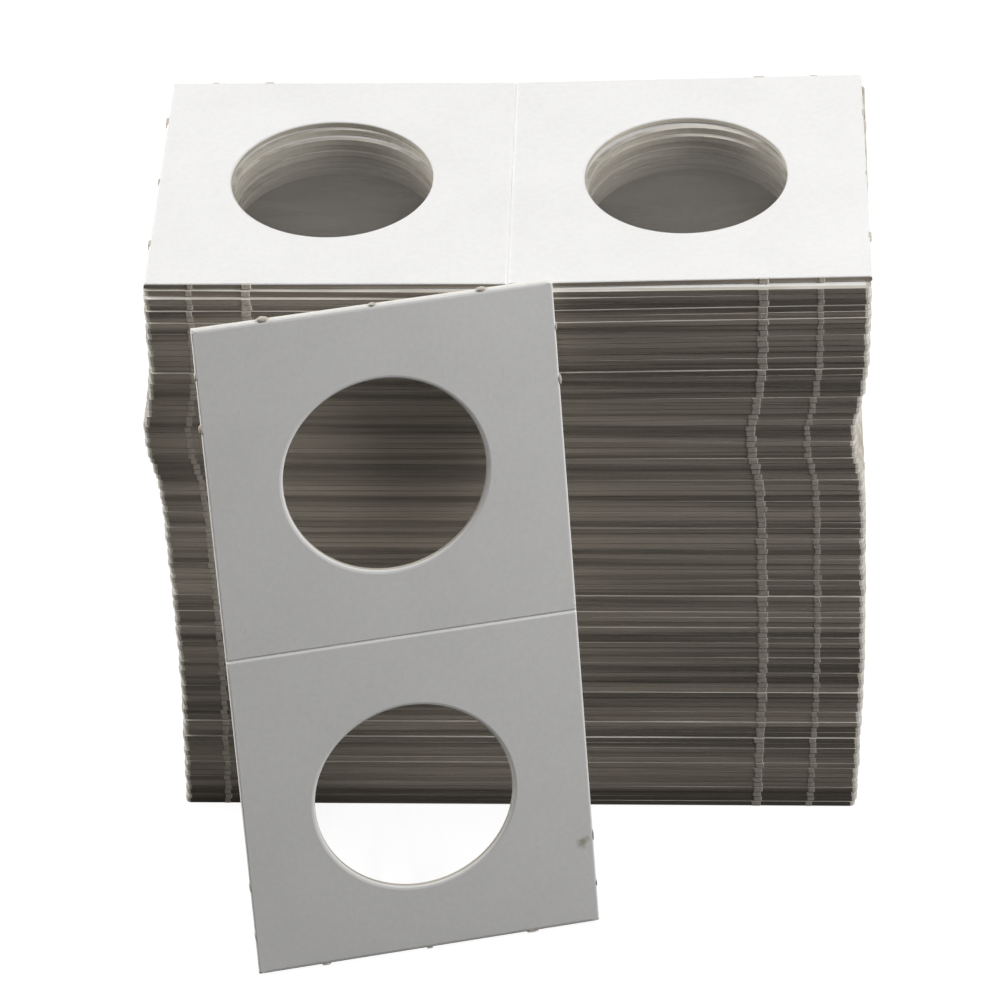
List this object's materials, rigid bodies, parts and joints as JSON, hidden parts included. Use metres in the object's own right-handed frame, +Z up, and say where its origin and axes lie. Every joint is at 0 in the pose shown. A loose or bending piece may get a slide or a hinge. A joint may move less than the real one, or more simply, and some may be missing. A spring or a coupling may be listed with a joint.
{
  "type": "stack of fold-over cardboard coin holders",
  "caption": "Pack of fold-over cardboard coin holders with film windows: a square-edged stack, and one open holder leaning on its front.",
  "frame": {"origin": "centre of the stack's base, on the surface that it stands on", "axes": "+Z up, +X along the length of the stacked cards, the leaning card in front towards -Y"},
  "size_m": [0.104, 0.0898, 0.0989],
  "materials": {
    "board": "matte white card",
    "stacked_board": "matte card seen mostly by its cut grey-brown edges",
    "film": "clear smooth film"
  },
  "bodies": {
    "stack": {"card_pair_01": "stacked_board", "card_pair_02": "stacked_board", "card_pair_03": "stacked_board", "card_pair_04": "stacked_board", "card_pair_05": "stacked_board", "card_pair_06": "stacked_board", "card_pair_07": "stacked_board", "card_pair_08": "stacked_board", "card_pair_09": "stacked_board", "card_pair_10": "stacked_board", "card_pair_11": "stacked_board", "card_pair_12": "stacked_board", "card_pair_13": "stacked_board", "card_pair_14": "stacked_board", "card_pair_15": "stacked_board", "card_pair_16": "stacked_board", "card_pair_17": "stacked_board", "card_pair_18": "stacked_board", "card_pair_19": "stacked_board", "card_pair_20": "stacked_board", "card_pair_21": "stacked_board", "card_pair_22": "stacked_board", "card_pair_23": "stacked_board", "card_pair_24": "stacked_board", "card_pair_25": "stacked_board", "card_pair_26": "stacked_board", "card_pair_27": "stacked_board", "card_pair_28": "stacked_board", "card_pair_29": "stacked_board", "card_pair_30": "stacked_board", "card_pair_31": "stacked_board", "card_pair_32": "stacked_board", "card_pair_33": "stacked_board", "card_pair_34": "stacked_board", "card_pair_35": "stacked_board", "card_pair_36": "stacked_board", "card_pair_37": "stacked_board", "card_pair_38": "stacked_board", "card_pair_39": "stacked_board", "card_pair_40": "stacked_board", "card_pair_41": "stacked_board", "card_pair_42": "stacked_board", "card_pair_43": "stacked_board", "card_pair_44": "stacked_board", "card_pair_45": "stacked_board", "card_pair_46": "stacked_board", "card_93": "board", "card_94": "board", "card_95": "board", "card_96": "board", "card_97": "board", "card_98": "board"},
    "top_left_panel": {"top_left_board": "board", "top_left_film": "film"},
    "top_right_panel": {"top_right_board": "board", "top_right_film": "film"},
    "leaning_lower_panel": {"leaning_lower_board": "board", "leaning_lower_film": "film"},
    "leaning_upper_panel": {"leaning_upper_board": "board", "leaning_upper_film": "film"}
  },
  "joints": [
    {"name": "top_lift", "type": "slide", "parent": "stack", "child": "top_left_panel", "axis": [0, 0, 1], "range_m": [0, 0.06]},
    {"name": "top_fold", "type": "hinge", "parent": "top_left_panel", "child": "top_right_panel", "pos_m": [0.0005, 0.0004, 0.09712], "axis": [0.0035, -1, 0], "range_deg": [0, 176.7]},
    {"name": "leaning_lift", "type": "slide", "parent": "stack", "child": "leaning_lower_panel", "axis": [0, 0, 1], "range_m": [0, 0.11]},
    {"name": "leaning_fold", "type": "hinge", "parent": "leaning_lower_panel", "child": "leaning_upper_panel", "pos_m": [-0.01465, -0.04512, 0.04943], "axis": [0.9724, 0.2334, 0], "range_deg": [0, 178]}
  ]
}
